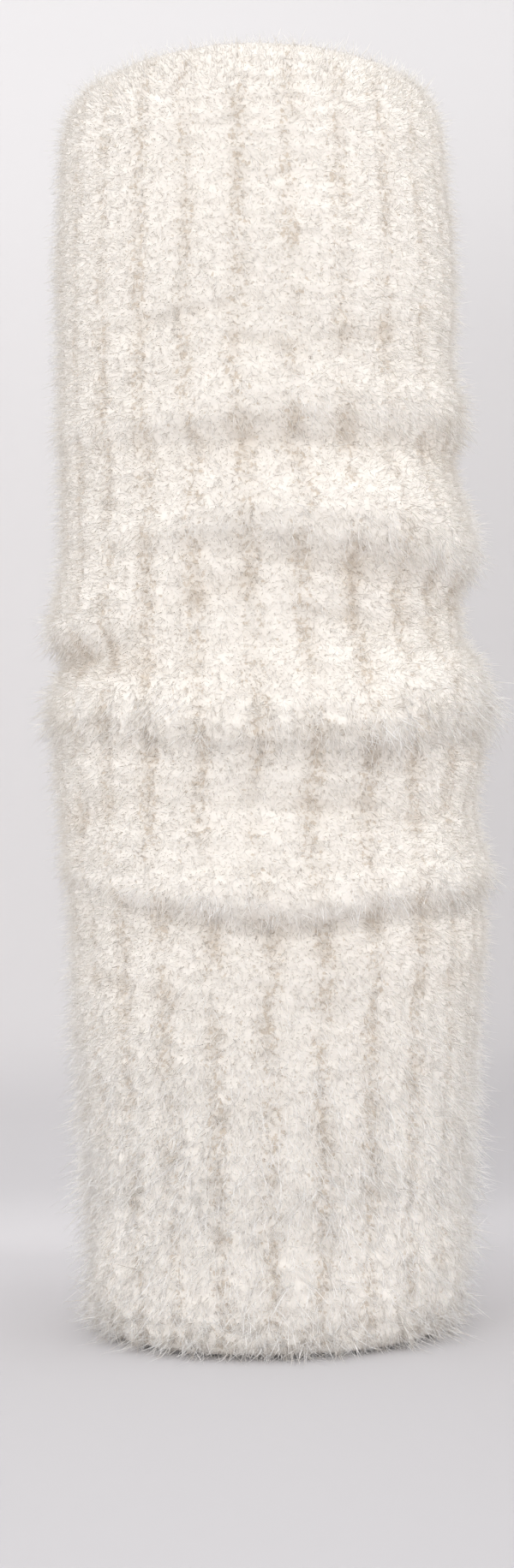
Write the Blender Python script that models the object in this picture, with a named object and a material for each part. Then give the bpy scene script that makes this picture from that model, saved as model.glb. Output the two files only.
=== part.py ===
"""A slouched leg warmer in ribbed eyelash knit, standing open on its lower hem.

The garment is one knitted tube: 24 broad ribs run its whole length, and the middle
has slid down into five rolls of cloth, each hanging over the tuck below it. The wall
is the knit together with the dense pile that stands on it, so its outer face is where
the fur ends. The ribs are raised on the outer face, over a plain inside.

The front faces -Y, the left side is -X, and Z is up. Sizes are millimetres.
"""

import math
from collections import namedtuple

import bmesh
import bpy

MM = 0.001

RIBS = 24
POINTS_PER_RIB = 4
RIB_DEPTH = 2.0
FURROW_AT_FOOT = math.radians(-1.8)  # the furrow nearest the front
FURROW_LEAN = math.radians(-0.0075)  # how far the ribs turn with each millimetre of rise
INSIDE_SKIPS = 3  # the plain inside has one point for each three outside

WALL = 5.0
TUCK_DEPTH = 2.8
FULL_ROLL = 6.0  # a roll this proud has a tuck of the full depth
HANG_SHARE = 0.35  # how far a lip hangs, as a share of how proud it stands
FLAT_SPREAD = 0.35  # the height that a roll still takes up where it has died out

YARN = (0.84, 0.79, 0.73, 1.0)
YARN_ROUGHNESS = 0.95

Sides = namedtuple("Sides", "left front right back")
Section = namedtuple("Section", "height reach shift")
Fold = namedtuple("Fold", "name height proud wander rings_above")
RollPoint = namedtuple("RollPoint", "name rise out tuck hang lined")
RimPoint = namedtuple("RimPoint", "name off inset")
Level = namedtuple("Level", "height offset lined")

TOP_EDGE = Sides(left=362.5, front=365.0, right=364.5, back=363.0)

# The tube without its folds: how far the cloth reaches from the leg's line, and how
# far that line has moved to the right.
SECTIONS = (
    Section(height=0.0, reach=57.2, shift=0.0),
    Section(height=30.0, reach=58.7, shift=0.7),
    Section(height=65.0, reach=60.2, shift=1.2),
    Section(height=112.0, reach=60.9, shift=1.4),
    Section(height=150.0, reach=61.8, shift=-0.2),
    Section(height=168.0, reach=63.4, shift=0.4),
    Section(height=190.0, reach=61.4, shift=0.2),
    Section(height=207.0, reach=60.8, shift=-0.6),
    Section(height=245.0, reach=60.6, shift=-0.6),
    Section(height=286.0, reach=60.2, shift=-1.2),
    Section(height=315.0, reach=59.8, shift=-0.9),
    Section(height=340.0, reach=58.7, shift=-0.5),
    Section(height=370.0, reach=57.6, shift=-0.6),
)

# One row for each roll: the height of the tuck under it and how proud its lip stands
# on each side. A roll dies out where its lip would stand less than nothing.
FOLDS = (
    Fold("first", Sides(256.5, 258.5, 253.0, 255.0), Sides(1.4, 5.4, 4.8, 4.0), 0.4, 3),
    Fold("second", Sides(224.0, 227.0, 213.0, 218.0), Sides(-2.5, 5.6, 6.6, 3.2), 1.3, 1),
    Fold("side", Sides(196.5, 200.0, 196.0, 197.0), Sides(5.4, -3.0, -2.0, 4.0), 2.6, 0),
    Fold("third", Sides(175.5, 170.5, 178.0, 172.0), Sides(4.0, 6.6, 7.8, 5.0), 3.5, 1),
    Fold("fourth", Sides(130.5, 122.5, 125.0, 128.0), Sides(2.4, 6.8, 5.6, 5.2), 5.1, 2),
)

# The shape of every roll, from its shoulder down to the sill under its tuck. Rise is
# above the tuck; out, tuck and hang are shares of the roll's own sizes. The lining
# follows the lined ones.
ROLL = (
    RollPoint("shoulder", rise=15.0, out=0.75, tuck=0.0, hang=0.0, lined=True),
    RollPoint("lip", rise=8.5, out=1.0, tuck=0.0, hang=0.0, lined=True),
    RollPoint("chin", rise=3.2, out=0.94, tuck=0.0, hang=-0.5, lined=True),
    RollPoint("underlip", rise=0.8, out=0.5, tuck=0.0, hang=-0.8, lined=False),
    RollPoint("tuck", rise=-0.5, out=0.0, tuck=1.0, hang=0.45, lined=True),
    RollPoint("sill", rise=-4.5, out=0.15, tuck=0.2, hang=0.0, lined=True),
)

# The pile rounds both edges. Off is away from the edge, along the tube.
TOP_RIM = (
    RimPoint("crown", off=0.0, inset=3.4),
    RimPoint("brow", off=2.0, inset=1.5),
    RimPoint("edge", off=8.0, inset=0.0),
)
TOP_LINING = RimPoint("inner brow", off=1.6, inset=4.7)
FOOT_RIM = (
    RimPoint("edge", off=7.0, inset=0.0),
    RimPoint("curve", off=2.2, inset=0.9),
    RimPoint("foot", off=0.0, inset=2.0),
)
FOOT_LINING = RimPoint("inner foot", off=0.0, inset=5.4)
RINGS_BELOW_FOLDS = 4

WANDER_HEIGHT = 0.9  # how far a fold's line strays up and down
WANDER_PROUD = 0.14  # how unevenly its lip stands out


def around(sides, angle):
    """The value at an angle from the front of what is known on the four sides."""
    middle = sum(sides) / 4
    front_back = (sides.front - sides.back) / 2
    right_left = (sides.right - sides.left) / 2
    oval = (sides.front + sides.back - sides.left - sides.right) / 4
    return (
        middle
        + front_back * math.cos(angle)
        + right_left * math.sin(angle)
        + oval * math.cos(2 * angle)
    )


def section_at(height):
    """(reach, shift) of the plain tube at a height."""
    for low, high in zip(SECTIONS, SECTIONS[1:]):
        if height <= high.height:
            break
    share = (height - low.height) / (high.height - low.height)
    share = min(1.0, max(0.0, share))
    ease = share * share * (3 - 2 * share)
    reach = low.reach + (high.reach - low.reach) * ease
    shift = low.shift + (high.shift - low.shift) * ease
    return reach, shift


def roll_levels(fold, angle):
    """The levels of one roll at an angle, from its shoulder to its sill."""
    stray = math.sin(3 * angle + fold.wander) + 0.6 * math.sin(7 * angle + 2 * fold.wander)
    uneven = 1 + WANDER_PROUD * math.sin(5 * angle + 3 * fold.wander)
    height = around(fold.height, angle) + WANDER_HEIGHT * stray
    proud = max(0.0, around(fold.proud, angle)) * uneven
    full = min(1.0, proud / FULL_ROLL)
    spread = FLAT_SPREAD + (1 - FLAT_SPREAD) * full
    hang = HANG_SHARE * proud
    levels = []
    for p in ROLL:
        level = height + p.rise * spread + p.hang * hang
        levels.append(Level(level, p.out * proud - p.tuck * TUCK_DEPTH * full, p.lined))
    return levels


def between(upper, lower, count):
    """Evenly spaced levels that ease from one level to the next."""
    levels = []
    for i in range(1, count + 1):
        share = i / (count + 1)
        ease = share * share * (3 - 2 * share)
        height = upper.height + (lower.height - upper.height) * share
        offset = upper.offset + (lower.offset - upper.offset) * ease
        levels.append(Level(height, offset, lined=True))
    return levels


def levels_at(angle):
    """Every level of the outer face at an angle, from the top rim to the foot."""
    top = around(TOP_EDGE, angle)
    levels = [Level(top - p.off, -p.inset, lined=True) for p in TOP_RIM]
    for fold in FOLDS:
        roll = roll_levels(fold, angle)
        levels += between(levels[-1], roll[0], fold.rings_above)
        levels += roll
    foot = [Level(p.off, -p.inset, lined=True) for p in FOOT_RIM]
    levels += between(levels[-1], foot[0], RINGS_BELOW_FOLDS)
    return levels + foot


def outline(levels):
    """(reach, height) of the outer face at each level, without its ribs."""
    return [(section_at(lv.height)[0] + lv.offset, lv.height) for lv in levels]


def outer_outline(angle):
    """The outer face at an angle, from the top rim to the foot."""
    return outline(levels_at(angle))


def inner_outline(angle):
    """The plain inside at an angle: the lined levels, moved in by the wall.

    Where the face turns under a roll the furrows still cut level, so the inside
    stands back by a furrow more.
    """
    outer = outline([lv for lv in levels_at(angle) if lv.lined])
    top = outer[0][0] + TOP_RIM[0].inset - TOP_LINING.inset
    inner = [(top, outer[0][1] - TOP_LINING.off)]
    for before, here, after in zip(outer[1:], outer[2:], outer[3:-1]):
        along = (after[0] - before[0], after[1] - before[1])
        length = math.hypot(*along)
        out = (-along[1] / length, along[0] / length)
        reach = here[0] - WALL * out[0] - RIB_DEPTH * (1 - out[0])
        inner.append((reach, here[1] - WALL * out[1]))
    foot = outer[-1][0] + FOOT_RIM[-1].inset - FOOT_LINING.inset
    inner.append((foot, FOOT_LINING.off))
    return inner


def furrow_depth(point):
    """How far the outer face sinks between ribs, at one of the points round it."""
    phase = 2 * math.pi * point / POINTS_PER_RIB
    return RIB_DEPTH * ((1 + math.cos(phase)) / 2) ** 2


def place(angle, reach, height):
    """A point of the cloth in metres."""
    shift = section_at(height)[1]
    turned = angle + FURROW_LEAN * height
    x = shift + reach * math.sin(turned)
    y = -reach * math.cos(turned)
    return (x * MM, y * MM, height * MM)


def columns(count, outline_at, depth):
    """The outline at evenly spaced angles, each sunk by its own depth."""
    made = []
    for i in range(count):
        angle = FURROW_AT_FOOT + 2 * math.pi * i / count
        made.append([place(angle, r - depth(i), z) for r, z in outline_at(angle)])
    return made


def add_wall(mesh, lines):
    """Adds the points of a face of the cloth, and its quads. Returns its columns."""
    points = [[mesh.verts.new(p) for p in line] for line in lines]
    for here, beside in zip(points, points[1:] + points[:1]):
        for i in range(len(here) - 1):
            mesh.faces.new((here[i], here[i + 1], beside[i + 1], beside[i]))
    return points


def join_edges(mesh, fine, coarse):
    """Closes the rim between the ribbed outside and the plain inside."""
    for j, here in enumerate(coarse):
        beside = coarse[(j + 1) % len(coarse)]
        start = j * INSIDE_SKIPS
        across = [fine[(start + k) % len(fine)] for k in range(INSIDE_SKIPS + 1)]
        half = INSIDE_SKIPS // 2
        for k in range(half):
            mesh.faces.new((here, across[k], across[k + 1]))
        mesh.faces.new((here, across[half], across[half + 1], beside))
        for k in range(half + 1, INSIDE_SKIPS):
            mesh.faces.new((beside, across[k], across[k + 1]))


def centre_on_base(mesh):
    """Moves the mesh so that the middle of its box's underside is the origin."""
    lows = [min(v.co[axis] for v in mesh.verts) for axis in range(3)]
    highs = [max(v.co[axis] for v in mesh.verts) for axis in range(3)]
    middle = ((lows[0] + highs[0]) / 2, (lows[1] + highs[1]) / 2, lows[2])
    bmesh.ops.translate(mesh, verts=mesh.verts, vec=[-m for m in middle])


def yarn_material():
    """Warm white brushed nylon yarn."""
    material = bpy.data.materials.new("eyelash_yarn")
    material.use_nodes = True
    shader = material.node_tree.nodes["Principled BSDF"]
    shader.inputs["Base Color"].default_value = YARN
    shader.inputs["Roughness"].default_value = YARN_ROUGHNESS
    shader.inputs["Metallic"].default_value = 0.0
    return material


def leg_tube():
    """The knitted tube: ribbed outside, plain inside, and both rims."""
    outside = RIBS * POINTS_PER_RIB
    mesh = bmesh.new()
    outer = add_wall(mesh, columns(outside, outer_outline, furrow_depth))
    inner = add_wall(
        mesh, columns(outside // INSIDE_SKIPS, inner_outline, lambda i: 0.0)
    )
    join_edges(mesh, [line[0] for line in outer], [line[0] for line in inner])
    join_edges(mesh, [line[-1] for line in outer], [line[-1] for line in inner])
    bmesh.ops.recalc_face_normals(mesh, faces=mesh.faces)
    centre_on_base(mesh)
    data = bpy.data.meshes.new("leg_tube")
    mesh.to_mesh(data)
    mesh.free()
    data.shade_smooth()
    data.materials.append(yarn_material())
    tube = bpy.data.objects.new("leg_tube", data)
    bpy.context.scene.collection.objects.link(tube)
    return tube


def main():
    for old in list(bpy.data.objects):
        bpy.data.objects.remove(old)
    leg_tube()


main()
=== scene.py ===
# %% [markdown]
# # A slouched leg warmer in eyelash knit
# The real garment is one tube, knitted round in chunky rib from a brushed "eyelash" yarn: a
# strong core with thousands of loose fibres standing out of it. It stands here by itself,
# open at both ends, with its middle slid down into soft rolls.
#
# It could be one smooth tube with a hair system, but hair does not leave Blender as a mesh.
# So the garment is built in two layers: a thin knitted wall with real ribs and rolls, and a
# pile of small closed fibres that Geometry Nodes plant on it.

import math
from collections import namedtuple

import bpy
import numpy as np
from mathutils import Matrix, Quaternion, Vector


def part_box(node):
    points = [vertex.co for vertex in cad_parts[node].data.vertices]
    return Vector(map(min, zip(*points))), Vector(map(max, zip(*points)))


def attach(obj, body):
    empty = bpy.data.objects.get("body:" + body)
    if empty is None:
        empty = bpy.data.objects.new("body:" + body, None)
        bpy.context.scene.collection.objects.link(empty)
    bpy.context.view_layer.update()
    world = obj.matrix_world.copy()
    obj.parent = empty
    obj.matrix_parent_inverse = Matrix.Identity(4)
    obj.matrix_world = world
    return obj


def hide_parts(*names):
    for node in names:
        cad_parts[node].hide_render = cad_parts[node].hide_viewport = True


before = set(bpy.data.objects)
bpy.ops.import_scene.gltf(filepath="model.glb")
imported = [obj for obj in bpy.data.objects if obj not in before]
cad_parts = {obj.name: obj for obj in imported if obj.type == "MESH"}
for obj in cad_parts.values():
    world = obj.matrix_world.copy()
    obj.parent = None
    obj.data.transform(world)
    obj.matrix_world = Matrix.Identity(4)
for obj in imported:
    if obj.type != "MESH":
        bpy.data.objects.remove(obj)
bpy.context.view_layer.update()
tube_low, tube_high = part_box("leg_tube")
MM = 0.001
print("tube stands", round((tube_high.z - tube_low.z) / MM, 1), "mm high")

# %% [markdown]
# ## Sizes of the tube
# A leg warmer is described like a vase: how far the cloth reaches from the leg's line at each
# height. The rolls are a second short table, with one row for each roll and a value for each
# side of the leg, because a slouch never falls the same way all round. A roll stands proud by
# some millimetres; it is as tall, open below and tucked in behind as its row says, and its
# fringe says how shaggy the pile hangs from it.

# %% Sizes of the tube, in millimetres
Sides = namedtuple("Sides", "left front right back")
Section = namedtuple("Section", "height reach shift")
Fold = namedtuple("Fold", "name height proud wander tall open tuck fringe")
RollPoint = namedtuple("RollPoint", "name rise out tuck hang ribbed shag shade")
RimPoint = namedtuple("RimPoint", "name off inset ribbed shag")
Crease = namedtuple("Crease", "angle height wide tall depth slant")

TOP_EDGE = Sides(left=357.6, front=364.2, right=358.4, back=360.5)
SECTIONS = (
    Section(height=0.0, reach=56.0, shift=0.5),
    Section(height=30.0, reach=57.9, shift=1.2),
    Section(height=65.0, reach=59.6, shift=1.7),
    Section(height=90.0, reach=61.4, shift=1.5),
    Section(height=112.0, reach=63.0, shift=2.7),
    Section(height=150.0, reach=62.2, shift=-0.2),
    Section(height=168.0, reach=65.0, shift=1.0),
    Section(height=190.0, reach=61.4, shift=0.2),
    Section(height=207.0, reach=60.8, shift=-0.6),
    Section(height=242.0, reach=60.4, shift=-0.3),
    Section(height=276.0, reach=57.8, shift=-2.2),
    Section(height=312.0, reach=59.6, shift=-1.0),
    Section(height=340.0, reach=58.7, shift=-0.5),
    Section(height=370.0, reach=57.6, shift=-0.6),
)
FOLDS = (
    Fold("first", Sides(254.5, 256, 256.5, 255), Sides(1.4, 3.8, 5.6, 4), 0.4, 1.4, 6.5, 1.0, 0.5),
    Fold("second", Sides(222, 225, 215.5, 218), Sides(-1.6, 3.4, 6.2, 3.2), 1.3, 1.35, 6, 0.9, 0.6),
    Fold("side", Sides(197.5, 200, 196, 197), Sides(4.4, -1, -2, 4), 2.6, 0.9, 3.0, -1.2, 0.6),
    Fold("third", Sides(173, 170, 172, 171), Sides(3.9, 4.6, 6.6, 5), 3.5, 1.5, 4.5, 0.5, 1.25),
    Fold("fourth", Sides(130, 122, 125.5, 127), Sides(1, 5.4, 4.8, 5.2), 5.1, 1.0, 2.4, 1.1, 0.75),
)
ROLL = (
    RollPoint("shoulder", rise=12.5, out=0.64, tuck=0.0, hang=0.0, ribbed=0.5, shag=1.0, shade=0.0),
    RollPoint("lip", rise=8.0, out=1.0, tuck=0.0, hang=0.0, ribbed=0.1, shag=1.3, shade=0.0),
    RollPoint("chin", rise=3.6, out=0.88, tuck=0.0, hang=-0.5, ribbed=0.4, shag=1.8, shade=0.05),
    RollPoint(
        "underlip", rise=0.5, out=0.52, tuck=0.15, hang=-0.7, ribbed=1.1, shag=1.2, shade=0.25
    ),
    RollPoint("tuck", rise=-0.8, out=0.0, tuck=1.0, hang=0.3, ribbed=1.5, shag=0.95, shade=0.4),
    RollPoint("sill", rise=-5.0, out=0.12, tuck=0.4, hang=0.0, ribbed=1.3, shag=0.97, shade=0.15),
)
TOP_RIM = (
    RimPoint("crown", off=0.4, inset=6.0, ribbed=0.3, shag=0.9),
    RimPoint("brow", off=3.4, inset=3.0, ribbed=0.4, shag=0.9),
    RimPoint("edge", off=12.0, inset=0.4, ribbed=0.8, shag=0.9),
)
FOOT_RIM = (
    RimPoint("edge", off=21.0, inset=-0.6, ribbed=0.9, shag=1.45),
    RimPoint("curve", off=6.5, inset=-0.4, ribbed=0.7, shag=1.6),
    RimPoint("turn", off=1.6, inset=0.4, ribbed=0.6, shag=1.6),
    RimPoint("foot", off=0.7, inset=3.4, ribbed=0.5, shag=1.4),
)
RIBS = 24
RIB_DEPTH = 0.6
FURROW_WIDTH = 0.13  # of a rib
FURROW_AT_FOOT = math.radians(-1.8)  # where the first furrow starts, from the front
FURROW_LEAN = math.radians(-0.0075)  # how far it turns with each millimetre of height
FULL_ROLL = 6.0  # a roll this proud has its full form, a weaker one is flatter
FLAT_SPREAD = 0.35  # the share of its height that a roll keeps where it dies out
HANG_SHARE = 0.35  # a lip hangs lower by this share of how proud it stands
LEG_LINE_X = -1.3  # the frame's origin is the middle of the box, which has rolls on its right
WANDER_HEIGHT = 0.9  # how far a roll strays up and down on its way round
WANDER_PROUD = 0.1  # the share by which it swells and thins there
PILE_REACH = 3.8  # how far the standing pile carries the outline past the knit
KNIT_LIFT = 2.8  # the pile hangs this far below each knitted lip
KNIT_WALL = 2.4  # as thick as chunky knit is between two fingers
FURROW_UNEVEN = 0.75  # the share by which a furrow is deeper here and shallower there
LUMPS = 0.35  # how far the face swells and sinks between its furrows
STRAY_ANGLE = math.radians(0.9)  # how far a furrow is led to one side
SHADE_OF_CREASE = 0.3  # for each millimetre of its depth

# %% [markdown]
# ## Small creases
# Between the big rolls the cloth also puckers a little where it is squeezed. Those troughs and
# ridges are listed one by one, no two alike, and the sides that the eye never met get their own.

# %% Creases, one by one: angles in degrees from the front, the rest in millimetres
CREASES = (
    Crease(angle=-24, height=288, wide=20, tall=2.6, depth=1.5, slant=3.0),
    Crease(angle=6, height=281, wide=15, tall=2.2, depth=0.9, slant=-1.5),
    Crease(angle=38, height=284, wide=14, tall=2.8, depth=0.8, slant=2.0),
    Crease(angle=-44, height=232, wide=18, tall=4.0, depth=-1.0, slant=-4.0),
    Crease(angle=-60, height=195, wide=26, tall=4.2, depth=2.6, slant=-0.5),
    Crease(angle=-12, height=213, wide=16, tall=3.2, depth=0.9, slant=3.5),
    Crease(angle=26, height=205, wide=13, tall=2.6, depth=1.1, slant=-2.0),
    Crease(angle=58, height=206, wide=12, tall=3.0, depth=1.0, slant=2.0),
    Crease(angle=-58, height=152, wide=20, tall=4.6, depth=1.0, slant=4.0),
    Crease(angle=14, height=154, wide=22, tall=3.4, depth=0.8, slant=-2.5),
    Crease(angle=50, height=150, wide=12, tall=3.0, depth=1.0, slant=3.0),
    Crease(angle=-50, height=104, wide=18, tall=3.0, depth=1.2, slant=-3.0),
    Crease(angle=58, height=104, wide=15, tall=2.6, depth=1.1, slant=2.5),
    Crease(angle=112, height=236, wide=18, tall=3.4, depth=1.1, slant=-3.0),
    Crease(angle=128, height=152, wide=16, tall=3.6, depth=1.2, slant=3.0),
    Crease(angle=152, height=288, wide=19, tall=2.8, depth=1.2, slant=2.0),
    Crease(angle=176, height=108, wide=22, tall=3.4, depth=1.0, slant=-3.5),
    Crease(angle=198, height=232, wide=17, tall=3.0, depth=-0.9, slant=3.0),
    Crease(angle=224, height=151, wide=19, tall=3.0, depth=1.1, slant=-2.0),
    Crease(angle=238, height=292, wide=15, tall=2.6, depth=0.9, slant=3.0),
    Crease(angle=256, height=106, wide=14, tall=3.2, depth=0.9, slant=2.0),
)
print(len(FOLDS), "rolls and", len(CREASES), "small creases")

# %% [markdown]
# ## The line down the cloth
# At any angle round the leg, the cloth is one line from the top edge to the hem. It goes
# through a few guiding levels, and a roll is six of them: out over the lip, back under it into
# the tuck, and on. A cubic B-spline through the guides gives the soft turn of real cloth, and
# never overshoots them. Each guide also says how deep the ribs are there, because a stretched
# lip pulls them flat, how long the pile is, and how deep in shade the cloth lies.


# %% Guides for the line
def around(sides, angle):
    """Blends what is known on the four sides, for an array of angles from the front."""
    middle = sum(sides) / 4
    front_back = (sides.front - sides.back) / 2
    right_left = (sides.right - sides.left) / 2
    oval = (sides.front + sides.back - sides.left - sides.right) / 4
    swing = front_back * np.cos(angle) + right_left * np.sin(angle)
    return middle + swing + oval * np.cos(2 * angle)


def eased(share):
    return share * share * (3 - 2 * share)


def section_at(height):
    """(reach, shift) of the plain tube at an array of heights."""
    table = np.array(SECTIONS)
    low = np.clip(np.searchsorted(table[:, 0], height) - 1, 0, len(table) - 2)
    span = table[low + 1, 0] - table[low, 0]
    share = eased(np.clip((height - table[low, 0]) / span, 0, 1))
    reach = table[low, 1] + (table[low + 1, 1] - table[low, 1]) * share
    shift = table[low, 2] + (table[low + 1, 2] - table[low, 2]) * share
    return reach, shift


def roll_guides(fold, angle):
    """(height, offset, ribbed, shag, shade) of each point of a roll, at an array of angles."""
    stray = np.sin(3 * angle + fold.wander) + 0.6 * np.sin(7 * angle + 2 * fold.wander)
    uneven = 1 + WANDER_PROUD * np.sin(5 * angle + 3 * fold.wander)
    height = around(fold.height, angle) + WANDER_HEIGHT * stray + KNIT_LIFT
    proud = np.maximum(0, around(fold.proud, angle)) * uneven
    full = np.minimum(1, proud / FULL_ROLL)
    spread = fold.tall * (FLAT_SPREAD + (1 - FLAT_SPREAD) * full)
    made = []
    for p in ROLL:
        level = height + p.rise * spread + p.hang * HANG_SHARE * proud
        if p.rise < 0:
            level = level - fold.open * full
        offset = p.out * proud - p.tuck * fold.tuck * full
        shag = 1 + (p.shag - 1) * full * (fold.fringe if p.shag > 1 else 1)
        shade = p.shade * full * (1.4 - 0.7 * fold.fringe)
        made.append((level, offset, 1 + (p.ribbed - 1) * full, shag, shade))
    return made


def between(upper, lower, count):
    """Guides that ease from one level to the next; the shade stays in the tuck."""
    made = []
    for i in range(1, count + 1):
        share = i / (count + 1)
        height = upper[0] + (lower[0] - upper[0]) * share
        rest = [u + (w - u) * eased(share) for u, w in zip(upper[1:4], lower[1:4])]
        made.append((height, *rest, 0 * height))
    return made


EASING_GUIDES = (4, 1, 0, 1, 2)  # above each roll
GUIDES_TO_FOOT = 5


def guides(angle, skipped=()):
    """Heights, offsets, rib depths, pile lengths and shades of the guides, top to foot."""
    flat = np.zeros_like(angle)
    top = around(TOP_EDGE, angle)
    levels = [(top - p.off, flat - p.inset, flat + p.ribbed, flat + p.shag, flat) for p in TOP_RIM]
    for fold, count in zip(FOLDS, EASING_GUIDES):
        roll = roll_guides(fold, angle)
        levels += between(levels[-1], roll[0], count)
        levels += [level for level, p in zip(roll, ROLL) if p.name not in skipped]
    foot = [(flat + p.off, flat - p.inset, flat + p.ribbed, flat + p.shag, flat) for p in FOOT_RIM]
    levels += between(levels[-1], foot[0], GUIDES_TO_FOOT) + foot
    return [np.array([level[i] for level in levels]) for i in range(5)]


def b_spline(points, where):
    """A cubic B-spline through rows of guides, at an array of places from 0 to 1."""
    ends = (2 * points[:1] - points[1:2], 2 * points[-1:] - points[-2:-1])
    points = np.concatenate((ends[0], points, ends[1]))
    along = np.clip(where, 0, 1) * (len(points) - 3)
    first = np.minimum(along.astype(int), len(points) - 4)
    f = (along - first)[:, None]
    weights = ((1 - f) ** 3, 3 * f**3 - 6 * f**2 + 4, -3 * f**3 + 3 * f**2 + 3 * f + 1, f**3)
    return sum(w * points[first + k] for k, w in enumerate(weights)) / 6


# %% [markdown]
# ## Even rows of stitches
# A knitter's rows are evenly spaced along the cloth, not along the height, so the rings of the
# mesh are spaced by the length of the line. Four rings make one row of stitches, 5.3 mm tall,
# and six columns make one rib, 15 mm wide. In a rib the middle stands proud and the purl
# stitches between two ribs sink back.

# %% Rings and columns
COLUMNS_PER_RIB = 6
RINGS_PER_ROW = 4
ROW = 5.3
columns = RIBS * COLUMNS_PER_RIB
angles = FURROW_AT_FOOT + 2 * np.pi * np.arange(columns) / columns


def line_of_cloth(where, skipped=()):
    """Heights and reaches down the cloth, one column for each angle."""
    heights, offsets = guides(angles, skipped)[:2]
    height = b_spline(heights, where)
    return height, section_at(height)[0] + b_spline(offsets, where) - PILE_REACH


fine = np.linspace(0, 1, 2001)
height, reach = line_of_cloth(fine)
steps = np.hypot(np.diff(height, axis=0), np.diff(reach, axis=0)).mean(axis=1)
length_down = np.concatenate(([0], np.cumsum(steps)))
rows = round(length_down[-1] / ROW)
rings = rows * RINGS_PER_ROW
evenly = np.interp(np.linspace(0, length_down[-1], rings + 1), length_down, fine)
outer_height, outer_reach = line_of_cloth(evenly)
ribbed, shag, shade = (b_spline(known, evenly) for known in guides(angles)[2:])
print("cloth is", round(length_down[-1]), "mm long down the tube, in", rows, "rows")

# %% [markdown]
# ## Nothing is quite even
# Knitting by machine is even; wearing, washing and brushing are not. A coarse grid of random
# numbers, blended smoothly over the cloth, makes each furrow deeper here and shallower there,
# leads it a little astray, and gives the face soft lumps. The grid has a fixed seed, so that
# every run gives the same garment. Where a roll on one side squeezes the rows on the other,
# the stitches flatten out instead of folding over.

# %% Ribs, stitches and creases in the outer face
MEAN_REACH = 57


def uneven(seed, tall, wide):
    """A smooth random field from -1 to 1 over the rings and columns; patches in mm."""
    down = max(2, round(length_down[-1] / tall))
    across = max(3, round(2 * math.pi * MEAN_REACH / wide))
    grid = np.random.default_rng(seed).uniform(-1, 1, (down + 1, across))
    grid = np.concatenate((grid, grid[:, :1]), axis=1)
    rows_at = np.linspace(0, down, rings + 1)
    columns_at = np.arange(columns) * across / columns
    row, column = np.minimum(rows_at.astype(int), down - 1), columns_at.astype(int)
    r = eased(rows_at - row)[:, None]
    c = eased(columns_at - column)[None, :]
    left = grid[row][:, column] * (1 - r) + grid[row + 1][:, column] * r
    right = grid[row][:, column + 1] * (1 - r) + grid[row + 1][:, column + 1] * r
    return left * (1 - c) + right * c


rib_place = (np.arange(columns) % COLUMNS_PER_RIB) / COLUMNS_PER_RIB
from_furrow = np.minimum(rib_place, 1 - rib_place)
furrow = ribbed * np.exp(-((from_furrow / FURROW_WIDTH) ** 2))
furrow = furrow * (1 + FURROW_UNEVEN * uneven(seed=3, tall=7.0, wide=9.0))
row_place = np.arange(rings + 1)[:, None] / RINGS_PER_ROW
SLANT = 0.9  # in rows: the stitches of a rib point down to its middle
STITCH_RELIEF = 0.4
stitch = np.cos(2 * np.pi * (row_place + SLANT * np.abs(rib_place - 0.5)))

squeezed = np.abs(np.gradient(outer_height, axis=0)) * RINGS_PER_ROW / ROW
relief = STITCH_RELIEF * np.minimum(1, squeezed) ** 2
outer_reach = outer_reach - RIB_DEPTH * furrow + relief * stitch
outer_reach = outer_reach + LUMPS * uneven(seed=5, tall=9.0, wide=11.0)
sideways = STRAY_ANGLE * uneven(seed=7, tall=16.0, wide=20.0)
for crease in CREASES:
    turn = (angles - math.radians(crease.angle) + np.pi) % (2 * np.pi) - np.pi
    aside = turn / math.radians(crease.wide)
    above = (outer_height - crease.height - crease.slant * aside) / crease.tall
    trough = crease.depth * np.exp(-(aside**2) - above**2)
    outer_reach = outer_reach - trough
    shade = shade + SHADE_OF_CREASE * np.maximum(0, trough)

# %% [markdown]
# ## The inside
# The inside of the tube is plain. It follows a calmer line, without the tightest turns, moved
# in by the wall. A quarter of the rings is enough there.

# %% The inside of the wall
inner_places = evenly[RINGS_PER_ROW // 2 : -1 : RINGS_PER_ROW]
calm_height, calm_reach = line_of_cloth(inner_places, skipped=("chin", "underlip"))
down = np.gradient(calm_height, axis=0)
out = np.gradient(calm_reach, axis=0)
slope = np.hypot(down, out)
SUNK_IN = 1.0  # the inside also clears the deepest stitches and creases
inner_reach = calm_reach - RIB_DEPTH - SUNK_IN + KNIT_WALL * down / slope
inner_height = calm_height - KNIT_WALL * out / slope
inner_height = np.clip(inner_height, 0.8, around(TOP_EDGE, angles) - 1.2)
print("narrowest inside:", round(float(inner_reach.min()), 1), "mm from the leg's line")


# %% Place the points
def placed(height, reach, astray=0.0):
    """Points in metres from heights and reaches, ring by ring."""
    turned = angles + FURROW_LEAN * height + astray
    x = LEG_LINE_X + section_at(height)[1] + reach * np.sin(turned)
    y = -reach * np.cos(turned)
    return np.stack((x, y, height), axis=-1).reshape(-1, 3) * MM


outer_points = placed(outer_height, outer_reach, sideways)
inner_points = placed(inner_height, inner_reach)

# %% [markdown]
# ## The knitted wall as a mesh
# Outside rings and inside rings are joined at both edges, so the wall is one closed body, as
# cloth is. A UV map counts ribs across and rows down, so that the material can place its
# stitches whatever the folds do.


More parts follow.
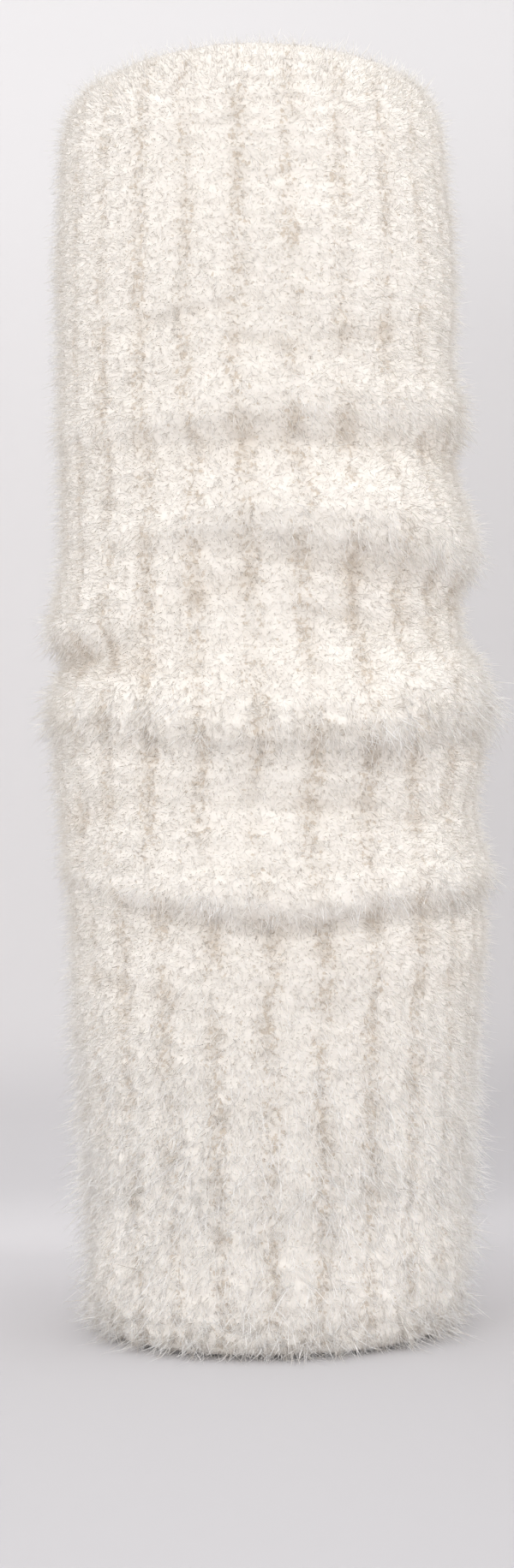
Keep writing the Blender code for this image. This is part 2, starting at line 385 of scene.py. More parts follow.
# %% Build the wall
def quads_between(ring_starts, next_column):
    """Four corners of each face between following rings."""
    upper, lower = np.array(ring_starts[:-1]), np.array(ring_starts[1:])
    column = np.arange(columns)
    corners = [
        (upper[:, None] + column),
        (lower[:, None] + column),
        (lower[:, None] + next_column),
        (upper[:, None] + next_column),
    ]
    return np.stack(corners, axis=-1).reshape(-1, 4)


def mesh_of(name, points, faces):
    data = bpy.data.meshes.new(name)
    data.from_pydata(points.tolist(), [], faces.tolist())
    data.validate()
    data.shade_smooth()
    return data


next_column = (np.arange(columns) + 1) % columns
outer_starts = [ring * columns for ring in range(rings + 1)]
inner_rings = len(inner_height)
inner_starts = [len(outer_points) + ring * columns for ring in range(inner_rings)]
loop_round = outer_starts + inner_starts[::-1] + outer_starts[:1]
wall_faces = quads_between(loop_round, next_column)
wall_mesh = mesh_of("knit_tube", np.concatenate((outer_points, inner_points)), wall_faces)
knit_tube = bpy.data.objects.new("knit_tube", wall_mesh)
bpy.context.scene.collection.objects.link(knit_tube)

column_of = np.tile(np.arange(columns), len(loop_round) - 1)
row_in_loop = np.repeat(np.arange(len(loop_round) - 1), columns)
row_of = np.concatenate(
    (
        np.arange(rings + 1) / RINGS_PER_ROW,
        np.arange(inner_rings)[::-1] + 0.5,
        [0.0],
    )
)
u = np.stack((column_of, column_of, column_of + 1, column_of + 1), axis=-1) / COLUMNS_PER_RIB
v = np.stack(
    (row_of[row_in_loop], row_of[row_in_loop + 1], row_of[row_in_loop + 1], row_of[row_in_loop]),
    axis=-1,
)
stitch_map = wall_mesh.uv_layers.new(name="stitches")
stitch_map.data.foreach_set("uv", np.stack((u, v), axis=-1).reshape(-1).astype(np.float32))
print("knitted wall:", len(wall_faces) * 2, "triangles")

# %% [markdown]
# ## Nodes, the short way
# Materials and Geometry Nodes are both trees of nodes. One helper adds a node, sets its
# options, and fills or links its inputs. Colours are given as the usual screen colours and
# turned into linear light.


# %% Helpers for nodes and colours
def node(tree, kind, inputs=(), **options):
    """Adds a node. Inputs maps a socket's name or number to a value or another socket."""
    made = tree.nodes.new(kind)
    for name, value in options.items():
        setattr(made, name, value)
    for key, value in dict(inputs).items():
        if isinstance(value, bpy.types.NodeSocket):
            tree.links.new(value, made.inputs[key])
        else:
            made.inputs[key].default_value = value
    return made


def colour(hex_code):
    """A screen colour such as F4EDE4 in linear light, with full alpha."""
    shares = [int(hex_code[i : i + 2], 16) / 255 for i in (0, 2, 4)]
    return [s / 12.92 if s <= 0.04045 else ((s + 0.055) / 1.055) ** 2.4 for s in shares] + [1]


def new_material(name):
    material = bpy.data.materials.new(name)
    material.use_nodes = True
    tree = material.node_tree
    return material, tree, tree.nodes["Principled BSDF"]


def blend_colours(tree, factor, first, second):
    mix = node(tree, "ShaderNodeMix", data_type="RGBA")
    tree.links.new(factor, mix.inputs["Factor"])
    for key, value in (("A", first), ("B", second)):
        socket = next(s for s in mix.inputs if s.name == key and s.type == "RGBA")
        if isinstance(value, bpy.types.NodeSocket):
            tree.links.new(value, socket)
        else:
            socket.default_value = value
    return next(s for s in mix.outputs if s.type == "RGBA")


# %% [markdown]
# ## The knitted ground: brushed polyamide
# Under the pile lies the core yarn, spun and dyed cream, and brushed so that it has no gloss.
# Light sinks between the purl stitches, so each furrow is painted a shade darker and full of small
# dark gaps of painted shade, never quite in line and never the same size. The UV map, which counts
# ribs across and rows down, says where the furrows are; two values on the mesh say how marked they
# are at each point and how much painted shade, warmer and darker, it gets deep in a fold, a pocket
# or a furrow.

# %% Material of the ground
FUZZ_GRAIN = MM / 0.62  # 1.6 mm, as wide as the core yarn
brushed_knit, tree, shader = new_material("brushed_polyamide_knit")


def maths(operation, *values):
    """One step of arithmetic in the tree at hand, on numbers and sockets."""
    return node(tree, "ShaderNodeMath", enumerate(values), operation=operation).outputs[0]


def ramp(value, low, high, low_result=0.0, high_result=1.0):
    sizes = {"Value": value, "From Min": low, "From Max": high}
    sizes |= {"To Min": low_result, "To Max": high_result}
    eased_range = node(tree, "ShaderNodeMapRange", sizes, interpolation_type="SMOOTHSTEP")
    return eased_range.outputs["Result"]


uv = node(tree, "ShaderNodeUVMap", uv_map="stitches")
across_down = node(tree, "ShaderNodeSeparateXYZ", {0: uv.outputs[0]})
rib_number = maths("FLOOR", maths("ADD", across_down.outputs["X"], 0.5))
off_furrow = maths("ABSOLUTE", maths("SUBTRACT", across_down.outputs["X"], rib_number))
ribbed_here = node(tree, "ShaderNodeAttribute", attribute_name="furrow")
valley = maths("MULTIPLY", ramp(off_furrow, 0.05, 0.34, 1.0, 0.0), ribbed_here.outputs["Fac"])

place = node(tree, "ShaderNodeTexCoord")
fuzz = node(
    tree,
    "ShaderNodeTexNoise",
    {"Vector": place.outputs["Object"], "Scale": 1 / FUZZ_GRAIN, "Detail": 2.0, "Roughness": 0.6},
)
hole = ramp(maths("MULTIPLY_ADD", valley, 0.14, fuzz.outputs["Fac"]), 0.63, 0.73)
cream = blend_colours(tree, fuzz.outputs["Fac"], colour("F0E9E1"), colour("F8F4EE"))
shaded_here = maths("MULTIPLY", valley, ramp(fuzz.outputs["Fac"], 0.4, 0.6, 0.03, 0.42))
shaded = blend_colours(tree, shaded_here, cream, colour("E2D9CE"))
painted_shade_here = node(tree, "ShaderNodeAttribute", attribute_name="deep")
# painted shade: the ground is painted warmer and darker deep in folds, pockets and furrows
painted_shade_share = maths("MULTIPLY", painted_shade_here.outputs["Fac"], 0.7)
with_painted_fold_shade = blend_colours(tree, painted_shade_share, shaded, colour("DCD0C2"))
ground_colour = blend_colours(tree, hole, with_painted_fold_shade, colour("D8CCBE"))
tree.links.new(ground_colour, shader.inputs["Base Color"])
bump = node(
    tree,
    "ShaderNodeBump",
    {"Height": maths("SUBTRACT", fuzz.outputs["Fac"], hole), "Strength": 0.3, "Distance": 0.001},
)
tree.links.new(bump.outputs[0], shader.inputs["Normal"])
shader.inputs["Roughness"].default_value = 0.92
shader.inputs["IOR"].default_value = 1.53
shader.inputs["Specular IOR Level"].default_value = 0.2
shader.inputs["Sheen Weight"].default_value = 0.25
shader.inputs["Sheen Roughness"].default_value = 0.6
wall_mesh.materials.append(brushed_knit)

# %% [markdown]
# ## The pile: eyelash fibres
# The fibres are fine polyamide filaments. They are nearly white and slightly see-through. Their
# colour is painted whiter towards the tip, as painted light for a tip with light all round it, and
# darker and warmer at the root, as painted shade. Each fibre carries how far along it a point is,
# and a tint of its own. From the face it grows on it takes three more values: how much painted
# shade it gets deep in a fold, a pocket or a furrow, how much painted light whitens its tuft, and
# how much painted shade of the gaps between tufts it gets, which a fine mottle turns into specks.

# %% Material of the fibres
MOTTLE_GRAIN = MM / 0.48  # 2.1 mm, across a small tuft
eyelash, tree, shader = new_material("eyelash_polyamide_fibre")
along = node(tree, "ShaderNodeAttribute", attribute_name="along")
tint = node(tree, "ShaderNodeAttribute", attribute_name="tint")
# painted shade at the root and painted light towards the tip
root_to_tip = blend_colours(tree, along.outputs["Fac"], colour("EDE7DF"), colour("F6F2ED"))
tinted = blend_colours(tree, tint.outputs["Fac"], root_to_tip, colour("F9F6F2"))
painted_shade_here = node(tree, "ShaderNodeAttribute", attribute_name="deep")
less_at_tip = maths("MULTIPLY_ADD", along.outputs["Fac"], -0.5, 0.8)
in_shade = maths("MULTIPLY", painted_shade_here.outputs["Fac"], less_at_tip)
# painted shade: the fibres are painted warmer and darker deep in folds, pockets and furrows, most
# at the root
with_painted_shade = blend_colours(tree, in_shade, tinted, colour("DFD4C7"))
place = node(tree, "ShaderNodeTexCoord")
stretched = node(
    tree,
    "ShaderNodeVectorMath",
    {0: place.outputs["Object"], 1: (1.0, 1.0, 0.55)},
    operation="MULTIPLY",
)
mottle = node(
    tree,
    "ShaderNodeTexNoise",
    {"Vector": stretched.outputs[0], "Scale": 1 / MOTTLE_GRAIN, "Detail": 0.0},
)
# painted shade in the gaps between tufts, as specks over a faint random mottle
gap_shade_here = node(tree, "ShaderNodeAttribute", attribute_name="gaps")
specked = maths("MULTIPLY_ADD", gap_shade_here.outputs["Fac"], 0.45, 0.05)
mottle_and_gap_shade = maths("MULTIPLY", ramp(mottle.outputs["Fac"], 0.38, 0.5, 1.0, 0.0), specked)
# painted light: tufts that hang, the hem and the lower part are painted whiter
painted_light_here = node(tree, "ShaderNodeAttribute", attribute_name="white")
with_painted_light = blend_colours(tree, painted_light_here.outputs["Fac"], with_painted_shade, colour("FFFDFB"))
fibre_colour = blend_colours(tree, mottle_and_gap_shade, with_painted_light, colour("D4CABE"))
tree.links.new(fibre_colour, shader.inputs["Base Color"])
shader.inputs["Roughness"].default_value = 0.75
shader.inputs["IOR"].default_value = 1.53
shader.inputs["Specular IOR Level"].default_value = 0.15

# %% [markdown]
# ## Kinds of fibre
# One fibre is a closed three-sided needle, 6 mm long and about a fifth of a millimetre thick
# as planted. The long ones have a joint in the middle, so they curve, and ten triangles. The
# short ones that fill in between are straight, with four. Real fibres are finer, but thinner
# than this they would be lost between the pixels.

# %% Make the kinds of fibre
FIBRE_LENGTH = 6.0 * MM
FIBRE_RADIUS = 0.15 * MM


def fibre(name, bends, thin=1.0):
    """A fibre up the Z axis. Bends gives how far aside it is after each stretch."""
    points, along_values, faces = [], [], []
    stations = [0.0] + list(bends)
    for i, aside in enumerate(stations[:-1]):
        share = i / (len(stations) - 1)
        radius = FIBRE_RADIUS * thin * (1 - 0.45 * share)
        for k in range(3):
            turn = 2 * math.pi * k / 3
            x = aside * FIBRE_LENGTH + radius * math.cos(turn)
            points.append((x, radius * math.sin(turn), share * FIBRE_LENGTH))
            along_values.append(share)
    points.append((stations[-1] * FIBRE_LENGTH, 0, FIBRE_LENGTH))
    along_values.append(1.0)
    tip = len(points) - 1
    faces.append((2, 1, 0))
    for i in range(len(stations) - 2):
        for k in range(3):
            a, b = 3 * i + k, 3 * i + (k + 1) % 3
            faces.append((a, b, b + 3, a + 3))
    for k in range(3):
        faces.append((tip - 3 + k, tip - 3 + (k + 1) % 3, tip))
    data = bpy.data.meshes.new(name)
    data.from_pydata(points, [], faces)
    data.shade_smooth()
    attribute = data.attributes.new("along", "FLOAT", "POINT")
    attribute.data.foreach_set("value", along_values)
    return bpy.data.objects.new(name, data)


def kinds_of(name, fibres):
    """A collection that Geometry Nodes can pick fibres from."""
    box = bpy.data.collections.new(name)
    for one in fibres:
        box.objects.link(one)
    return box


lashes = kinds_of(
    "lashes",
    [
        fibre("long_fibre_0", (0.04, 0.15)),
        fibre("long_fibre_1", (0.08, 0.3), thin=0.9),
        fibre("long_fibre_2", (0.1, 0.05), thin=1.1),
        fibre("long_fibre_3", (0.02, 0.25)),
        fibre("long_fibre_4", (-0.08, 0.1), thin=0.85),
        fibre("long_fibre_5", (0.12, 0.4), thin=0.95),
    ],
)
downs = kinds_of(
    "downs", [fibre("short_fibre_0", (0.0,)), fibre("short_fibre_1", (0.12,), thin=0.85)]
)

# %% [markdown]
# ## Where the pile lies
# Each point of the wall carries hints for the fibres planted near it: which way they lie, how long
# they are, how close together, how much they gather into tufts, and the values that the material
# asks for, which are painted shade and painted light. The pile sags a little. It is longest where
# it hangs, on the underside of a roll and at the hem, and gathers into tufts of uneven length
# there, which are painted whiter as painted light, as is the lower part. It stands up at the top
# edge, and is thin inside and in a tuck, where the ground shows.

# %% Hints for the pile
normals = np.zeros(len(wall_mesh.vertices) * 3, np.float32)
wall_mesh.vertices.foreach_get("normal", normals)
normals = normals.reshape(-1, 3).astype(float)
wall_points = np.concatenate((outer_points, inner_points))
heights = wall_points[:, 2] / MM
outside = np.arange(len(wall_points)) < len(outer_points)
furrow_at, shade_at = np.zeros(len(wall_points)), np.zeros(len(wall_points))
shag_at = np.full(len(wall_points), 0.75)
furrow_at[outside] = furrow.reshape(-1)
ribbed_at = np.ones(len(wall_points))
ribbed_at[outside] = ribbed.reshape(-1)
shag_at[outside] = shag.reshape(-1)
shade_at[outside] = shade.reshape(-1)


def fade(value, start, end):
    """0 at the start, 1 at the end and a straight way between."""
    return np.clip((value - start) / (end - start), 0, 1)


near_top = fade(heights, 340, 356)  # heights in millimetres
at_hem = fade(heights, 14, 8)
low_part = eased(fade(heights, 125, 35))
hanging = np.clip(1.7 * (shag_at - 1), 0, 1)
in_tuck = np.clip(shade_at, 0, 1)
underside = np.clip(-1.6 * normals[:, 2] - 0.3, 0, 1) * outside

sag = 0.35 + 0.2 * low_part + 0.9 * hanging - 0.9 * near_top - 0.35 * at_hem
lie = normals.copy()
lie[:, 2] -= sag
lie /= np.linalg.norm(lie, axis=1)[:, None]
tufted = np.zeros(len(wall_points))
tufted[outside] = uneven(seed=13, tall=7.0, wide=4.6).reshape(-1)
long = shag_at * (1 + 0.2 * low_part) * (1 - 0.03 * furrow_at)
long *= 1 + 0.45 * tufted * np.maximum(hanging, at_hem)
tufty = 0.2 + 0.3 * low_part + 1.7 * hanging + 1.2 * at_hem
close = (1 - 0.03 * furrow_at) * (1 - 0.1 * in_tuck) * (1 - 0.3 * underside) * (1 - 0.3 * hanging)
close *= np.where(outside, 1 + 0.3 * near_top + 0.4 * at_hem, 0.5)
on_roll = hanging * (heights > 40)  # below that, at_hem counts instead
shaggy = np.clip(0.45 + 1.15 * on_roll + 0.9 * at_hem, 0, 1.5)
patchy = np.ones(len(wall_points))
patchy[outside] += 1.2 * uneven(seed=9, tall=6.0, wide=3.6).reshape(-1)
POCKET_WIDTH = 0.24  # of a rib
pocket = np.exp(-((from_furrow / POCKET_WIDTH) ** 2))
pocket_at = np.tile(pocket, len(wall_points) // columns)
# painted shade deep in folds, creases, rib pockets and furrows, uneven in patches
deep = np.clip((shade_at * (0.5 + 1.6 * pocket_at) + 0.2 * furrow_at) * patchy, 0, 1)
# painted shade in the gaps between tufts: in rib pockets, folds, hanging tufts and at the hem
gaps = np.clip(0.45 * pocket_at * patchy + 0.7 * at_hem + 1.2 * shade_at + 0.5 * hanging, 0, 1.2)
# painted light: whiter on hanging tufts and at the hem, uneven in patches, and on the lower part
white = np.clip((hanging + at_hem) * (1.7 - 1.3 * patchy) + 0.2 + 0.7 * low_part, 0, 1)
for label, values in (("deep", deep), ("furrow", np.clip(ribbed_at * patchy, 0, 1))):
    layer = wall_mesh.attributes.new(label, "FLOAT", "POINT")
    layer.data.foreach_set("value", values.astype(np.float32))
shortest, longest = (round(float(v) * FIBRE_LENGTH / MM, 1) for v in (long.min(), long.max()))
print("fibres are", shortest, "to", longest, "mm")

# %% [markdown]
# ## Planting with Geometry Nodes
# One tree plants every fibre: it scatters points on a patch of the face, picks a kind of fibre
# for each, turns it along the hint with some noise, and makes the whole a plain mesh. The
# coarse noise bends neighbouring fibres together, and cells a few millimetres wide gather
# their tips into tufts, as worn and brushed pile does; a random turn sets single fibres astray.

# %% The planting tree
CLUMP = 4.0 * MM  # across the cell whose fibres gather into one tuft
TUFT_GRAIN = 3.125 * MM  # across a patch of fibres that bend one way
planting = bpy.data.node_groups.new("planting", "GeometryNodeTree")
SIZES = (
    ("Geometry", "NodeSocketGeometry"),
    ("Fibres per square metre", "NodeSocketFloat"),
    ("Closeness", "NodeSocketString"),
    ("Length", "NodeSocketFloat"),
    ("Thickness", "NodeSocketFloat"),
    ("Tufting", "NodeSocketFloat"),
    ("Gathering", "NodeSocketFloat"),
    ("Straying", "NodeSocketFloat"),
    ("Kinds", "NodeSocketCollection"),
    ("Finish", "NodeSocketMaterial"),
    ("Seed", "NodeSocketInt"),
)
for name, kind in SIZES:
    planting.interface.new_socket(name=name, in_out="INPUT", socket_type=kind)
planting.interface.new_socket(name="Geometry", in_out="OUTPUT", socket_type="NodeSocketGeometry")
given = node(planting, "NodeGroupInput").outputs


def hint(name, kind):
    """A value that the face carries."""
    made = node(planting, "GeometryNodeInputNamedAttribute", {"Name": name}, data_type=kind)
    return made.outputs["Attribute"]


def chance(low, high, step, kind="FLOAT"):
    """A random value for each point, from the seed and a step of its own."""
    drawn = node(planting, "FunctionNodeRandomValue", data_type=kind)
    by_name = {s.name: s for s in drawn.inputs if s.enabled}
    by_name["Min"].default_value = low
    by_name["Max"].default_value = high
    total = node(planting, "ShaderNodeMath", {0: given["Seed"], 1: float(step)}, operation="ADD")
    planting.links.new(total.outputs[0], by_name["Seed"])
    return next(s for s in drawn.outputs if s.enabled)


def times(vector, factor):
    made = node(planting, "ShaderNodeVectorMath", {0: vector}, operation="SCALE")
    if isinstance(factor, bpy.types.NodeSocket):
        planting.links.new(factor, made.inputs["Scale"])
    else:
        made.inputs["Scale"].default_value = factor
    return made.outputs[0]


def plus(first, second):
    return node(planting, "ShaderNodeVectorMath", {0: first, 1: second}).outputs[0]


tree = planting  # the tree at hand, for maths
density = maths("MULTIPLY", hint(given["Closeness"], "FLOAT"), given["Fibres per square metre"])
scattered = node(
    planting,
    "GeometryNodeDistributePointsOnFaces",
    {"Mesh": given["Geometry"], "Density": density, "Seed": given["Seed"]},
)
position = node(planting, "GeometryNodeInputPosition")
tufts = node(
    planting,
    "ShaderNodeTexNoise",
    {"Vector": position.outputs[0], "Scale": 1 / TUFT_GRAIN, "Detail": 1.0},
)
centred = plus(tufts.outputs["Color"], (-0.5, -0.5, -0.5))
tufty_here = hint("tufty", "FLOAT")
tufting = maths("MULTIPLY", given["Tufting"], tufty_here)
direction = plus(hint("lie", "FLOAT_VECTOR"), times(centred, tufting))
clumps = node(
    planting,
    "ShaderNodeTexVoronoi",
    {"Vector": position.outputs[0], "Scale": 1 / CLUMP},
)
to_clump = node(
    planting,
    "ShaderNodeVectorMath",
    {0: clumps.outputs["Position"], 1: position.outputs[0]},
    operation="SUBTRACT",
)
gathering = maths("MULTIPLY", maths("MULTIPLY", given["Gathering"], tufty_here), 1 / FIBRE_LENGTH)
direction = plus(direction, times(to_clump.outputs[0], gathering))
any_way = chance((-1, -1, -1), (1, 1, 1), 3, "FLOAT_VECTOR")
direction = plus(direction, times(any_way, given["Straying"]))
upright = node(planting, "FunctionNodeAlignRotationToVector", {"Vector": direction}, axis="Z")
mostly_down = plus(chance((-0.9, -0.9, -0.9), (0.9, 0.9, 0.9), 5, "FLOAT_VECTOR"), (0, 0, -1))
drooping = node(
    planting,
    "FunctionNodeAlignRotationToVector",
    {"Rotation": upright.outputs[0], "Vector": mostly_down},
    axis="X",
    pivot_axis="Z",
)
tall = maths("MULTIPLY", hint("long", "FLOAT"), given["Length"])
tall = maths("MULTIPLY", tall, chance(0.6, 1.2, 7))
stout = maths("MULTIPLY", chance(0.75, 1.25, 13), given["Thickness"])
size = node(planting, "ShaderNodeCombineXYZ", {"X": stout, "Y": stout, "Z": tall})
kinds = node(
    planting,
    "GeometryNodeCollectionInfo",
    {"Collection": given["Kinds"], "Separate Children": True, "Reset Children": True},
)
planted = node(
    planting,
    "GeometryNodeInstanceOnPoints",
    {
        "Points": scattered.outputs["Points"],
        "Instance": kinds.outputs[0],
        "Pick Instance": True,
        "Instance Index": chance(0, 11, 9, "INT"),  # counts on past the last kind to the first
        "Rotation": drooping.outputs[0],
        "Scale": size.outputs[0],
    },
)
tinted = node(
    planting,
    "GeometryNodeStoreNamedAttribute",
    {"Geometry": planted.outputs[0], "Name": "tint", "Value": chance(0.0, 1.0, 11)},
    data_type="FLOAT",
    domain="INSTANCE",
)
real = node(planting, "GeometryNodeRealizeInstances", {"Geometry": tinted.outputs[0]})
finished = node(
    planting,
    "GeometryNodeSetMaterial",
    {"Geometry": real.outputs[0], "Material": given["Finish"]},
)
node(planting, "NodeGroupOutput", {0: finished.outputs[0]})
print("planting tree has", len(planting.nodes), "nodes")

# %% [markdown]
# ## Patches
# A mesh of a million triangles is heavy to handle, so the pile is grown in bands, from the top
# edge down to the hem. Each band is its own piece, and gets both kinds of fibre.


# %% Grow the pile, band by band
def patch(name, ring_starts):
    """A strip of the wall through the given rings, with the hints on its points."""
    chosen = (np.array(ring_starts)[:, None] + np.arange(columns)).reshape(-1)
    starts = np.arange(len(ring_starts)) * columns
    data = mesh_of(name, wall_points[chosen], quads_between(starts, next_column))
    for label, kind, values in (
        ("lie", "FLOAT_VECTOR", lie),
        ("long", "FLOAT", long),
        ("close", "FLOAT", close),
        ("close_long", "FLOAT", close * shaggy),
        ("tufty", "FLOAT", tufty),
        ("deep", "FLOAT", deep),
        ("white", "FLOAT", white),
        ("gaps", "FLOAT", gaps),
    ):
        attribute = data.attributes.new(label, kind, "POINT")
        key = "vector" if kind == "FLOAT_VECTOR" else "value"
        attribute.data.foreach_set(key, values[chosen].reshape(-1).astype(np.float32))
    return data


def lift_off_floor(data):
    """Fibres that would reach into the floor bend to lie on it."""
    points = np.zeros(len(data.vertices) * 3, np.float32)
    data.vertices.foreach_get("co", points)
    z = points[2::3]
    soft = 1.0 * MM
    points[2::3] = np.where(z < soft, soft * np.exp((np.minimum(z, soft) - soft) / soft), z)
    data.vertices.foreach_set("co", points)


def grow(name, data, sizes):
    """Plants fibres on a patch and returns them as a plain mesh object."""
    ground = bpy.data.objects.new(name, data)
    bpy.context.scene.collection.objects.link(ground)
    modifier = ground.modifiers.new("planting", "NODES")
    modifier.node_group = planting
    for item in planting.interface.items_tree:
        if item.in_out == "INPUT" and item.name in sizes:
            modifier[item.identifier] = sizes[item.name]
    settled = ground.evaluated_get(bpy.context.evaluated_depsgraph_get())
    pile = bpy.data.meshes.new_from_object(settled)
    bpy.data.objects.remove(ground)
    lift_off_floor(pile)
    pile.name = name
    grown = bpy.data.objects.new(name, pile)
    bpy.context.scene.collection.objects.link(grown)
    return grown


LASHES = {
    "Fibres per square metre": 255e3,
    "Closeness": "close_long",
    "Length": 1.05,
    "Thickness": 0.75,
    "Tufting": 0.6,
    "Gathering": 0.9,
    "Straying": 0.55,
    "Kinds": lashes,
    "Finish": eyelash,
}
DOWN = {
    "Fibres per square metre": 1150e3,
    "Closeness": "close",
    "Length": 0.72,
    "Thickness": 0.58,
    "Tufting": 0.4,
    "Gathering": 0.5,
    "Straying": 0.8,
    "Kinds": downs,
    "Finish": eyelash,
}
BANDS = 6
LINING_RINGS = 3  # the pile goes this far over the top edge and in
planted_rings = inner_starts[:LINING_RINGS][::-1] + outer_starts
edges = [round((len(planted_rings) - 1) * band / BANDS) for band in range(BANDS + 1)]
pile_pieces = []
for band in range(BANDS):
    data = patch(f"patch_{band}", planted_rings[edges[band] : edges[band + 1] + 1])
    long_pile = grow(f"lashes_{band}", data.copy(), LASHES | {"Seed": 11 + band})
    short_pile = grow(f"down_{band}", data.copy(), DOWN | {"Seed": 41 + band})
    pile_pieces += [long_pile, short_pile]
    counts = [sum(len(p.vertices) - 2 for p in o.data.polygons) for o in (long_pile, short_pile)]
    print("band", band, "has", counts[0], "and", counts[1], "triangles")

# %% [markdown]
# ## Pieces on the frame
# The knitted wall stands for the solid tube of the frame, which is hidden, and the wall and the
# pile are tied to the frame's root. The wall is a sheet of cloth: laid out flat, it is as wide as
# the tube is round over its ribs, and as long as the line down it.

# %% Tie the pieces to the frame
for piece in [knit_tube] + pile_pieces:
    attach(piece, "root")
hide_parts("leg_tube")

# %% [markdown]
# ## The studio
# A pale sheet of background board lies on the table and curves up close behind the garment.
# Its paint carries painted light and shade: the floor is painted lighter towards the wall, the bend
# darker, the wall lighter higher up, and a painted shadow makes it darker to the right of the
# garment. Seen from behind, the board lets the eye through, so the back of the garment can be
# looked at.


# %% Background board
BEND_STEPS = 12


def background_board(wall_y, bend, half_width, tall, front):
    """A floor that turns up into a wall."""
    line = [(front, 0.0), (wall_y - bend, 0.0)]
    for i in range(1, BEND_STEPS + 1):
        turn = math.pi / 2 * i / BEND_STEPS
        line.append((wall_y - bend + bend * math.sin(turn), bend - bend * math.cos(turn)))
    line.append((wall_y, tall))
    points = [(x, y, z) for y, z in line for x in (-half_width, half_width)]
    faces = [(2 * i, 2 * i + 1, 2 * i + 3, 2 * i + 2) for i in range(len(line) - 1)]
    data = bpy.data.meshes.new("board")
    data.from_pydata(points, [], faces)
    data.shade_smooth()
    made = bpy.data.objects.new("board", data)
    bpy.context.scene.collection.objects.link(made)
    return made


board = background_board(wall_y=0.165, bend=0.045, half_width=1.6, tall=1.5, front=-2.6)
board_paint, tree, shader = new_material("matt_board")
on_board = node(tree, "ShaderNodeTexCoord")
split = node(tree, "ShaderNodeSeparateXYZ", {0: on_board.outputs["Object"]})
# painted light: the floor is painted lighter towards the wall, beside the garment
painted_light_near_wall = ramp(split.outputs["Y"], -0.08, 0.06)
# painted shade: darker in the bend between floor and wall
painted_shade_in_bend = ramp(split.outputs["Z"], 0.0, 0.02)
# painted light: the wall is painted lighter above the bend
painted_light_up_wall = ramp(split.outputs["Z"], 0.02, 0.08)
painted_light_and_shade = blend_colours(tree, painted_light_near_wall, colour("C4C2C4"), colour("D6D4D6"))
painted_light_and_shade = blend_colours(tree, painted_shade_in_bend, painted_light_and_shade, colour("C6C4C6"))
painted_light_and_shade = blend_colours(tree, painted_light_up_wall, painted_light_and_shade, colour("DBD9DA"))
# painted shadow: darker to the right of the garment
painted_shadow_right = ramp(split.outputs["X"], -0.02, 0.09, 0.02, 0.1)
painted_light_and_shade = blend_colours(tree, painted_shadow_right, painted_light_and_shade, colour("A3A1A3"))
tree.links.new(painted_light_and_shade, shader.inputs["Base Color"])
shader.inputs["Roughness"].default_value = 0.95
shader.inputs["Specular IOR Level"].default_value = 0.1
facing = node(tree, "ShaderNodeNewGeometry")
clear = node(tree, "ShaderNodeBsdfTransparent")
either = node(
    tree,
    "ShaderNodeMixShader",
    {0: facing.outputs["Backfacing"], 1: shader.outputs[0], 2: clear.outputs[0]},
)
tree.links.new(either.outputs[0], tree.nodes["Material Output"].inputs["Surface"])
board.data.materials.append(board_paint)

# %% [markdown]
# ## Light and camera
# The picture has hardly a shadow in its pile: most light comes from a white room, and little
# from a lamp. A lamp alone would draw each fibre hard and dark. So the room glows softly from
# the left, from the right and from above on the left, with a little from everywhere, and one
# weak, large lamp in front gives the fibres their direction. The lens is long, from about a
# metre away at half the garment's height, and the camera is tipped by one degree, so the
# garment seems to lean a little to the left.


# %% Lamp, room and camera
def aim(thing, target):
    direction = Vector(target) - thing.location
    thing.rotation_euler = direction.to_track_quat("-Z", "Y").to_euler()


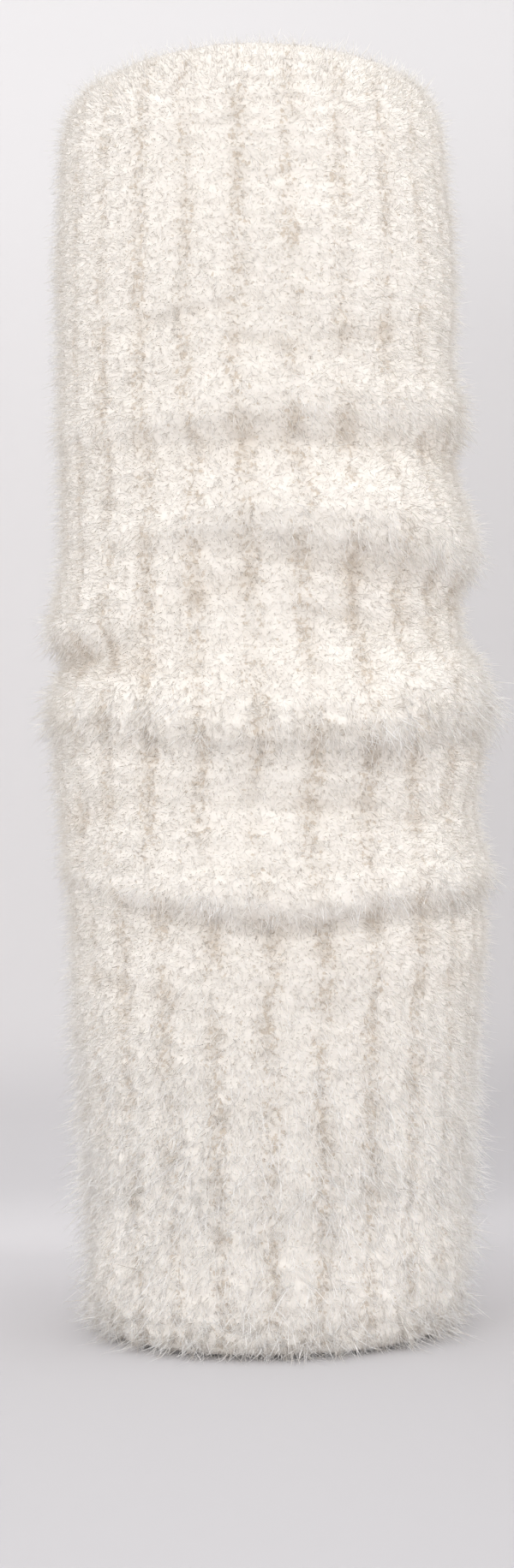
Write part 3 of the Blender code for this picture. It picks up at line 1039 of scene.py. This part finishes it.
def softbox(name, place, target, width, power, tone):
    lamp = bpy.data.lights.new(name, "AREA")
    lamp.shape = "SQUARE"
    lamp.size = width
    lamp.energy = power
    lamp.color = colour(tone)[:3]
    made = bpy.data.objects.new(name, lamp)
    made.location = place
    bpy.context.scene.collection.objects.link(made)
    aim(made, target)
    return made


softbox(
    "lamp",
    place=(-0.95, -1.4, 0.5),
    target=(0.0, 0.0, 0.16),
    width=0.9,
    power=4.8,
    tone="FFFFFF",
)
room = bpy.data.worlds.new("room")
room.use_nodes = True
tree = room.node_tree
FROM_EVERYWHERE = 0.27
heading = node(tree, "ShaderNodeTexCoord")


def glow(toward, strength):
    """Soft light from one side of the room, strongest along a direction."""
    unit = Vector(toward).normalized()
    facing_it = node(
        tree,
        "ShaderNodeVectorMath",
        {0: heading.outputs["Generated"], 1: tuple(unit)},
        operation="DOT_PRODUCT",
    )
    falling_off = maths("POWER", maths("MAXIMUM", facing_it.outputs["Value"], 0.0), 2.0)
    return maths("MULTIPLY", falling_off, strength)


from_left = glow(toward=(-0.9, -0.35, 0.1), strength=1.04)
from_right = glow(toward=(0.95, -0.25, 0.1), strength=2.55)
light = maths("ADD", from_left, from_right)
light = maths("ADD", light, glow(toward=(-0.5, -0.3, 0.8), strength=0.89))
light = maths("ADD", light, FROM_EVERYWHERE)
tree.links.new(light, tree.nodes["Background"].inputs["Strength"])
tree.nodes["Background"].inputs["Color"].default_value = colour("FFFFFF")
bpy.context.scene.world = room
bpy.context.scene.view_settings.view_transform = "Standard"

DISTANCE = 0.92
EYE_HEIGHT = 0.1825
LOOK_DOWN = math.radians(1.494)
TIP = math.radians(-1.066)
SENSOR = 36.0  # in millimetres, as tall as the picture
lens = bpy.data.cameras.new("camera")
lens.lens = SENSOR * 3680 / 1832  # both in pixels: the focal length and the picture's height
lens.sensor_width = SENSOR
lens.clip_start = 0.05
camera = bpy.data.objects.new("camera", lens)
camera.location = (-0.0039, -DISTANCE, EYE_HEIGHT)
camera.rotation_mode = "QUATERNION"
look = Vector((0, 1, -math.tan(LOOK_DOWN))).to_track_quat("-Z", "Y")
camera.rotation_quaternion = look @ Quaternion((0, 0, 1), TIP)
bpy.context.scene.collection.objects.link(camera)
bpy.context.scene.camera = camera
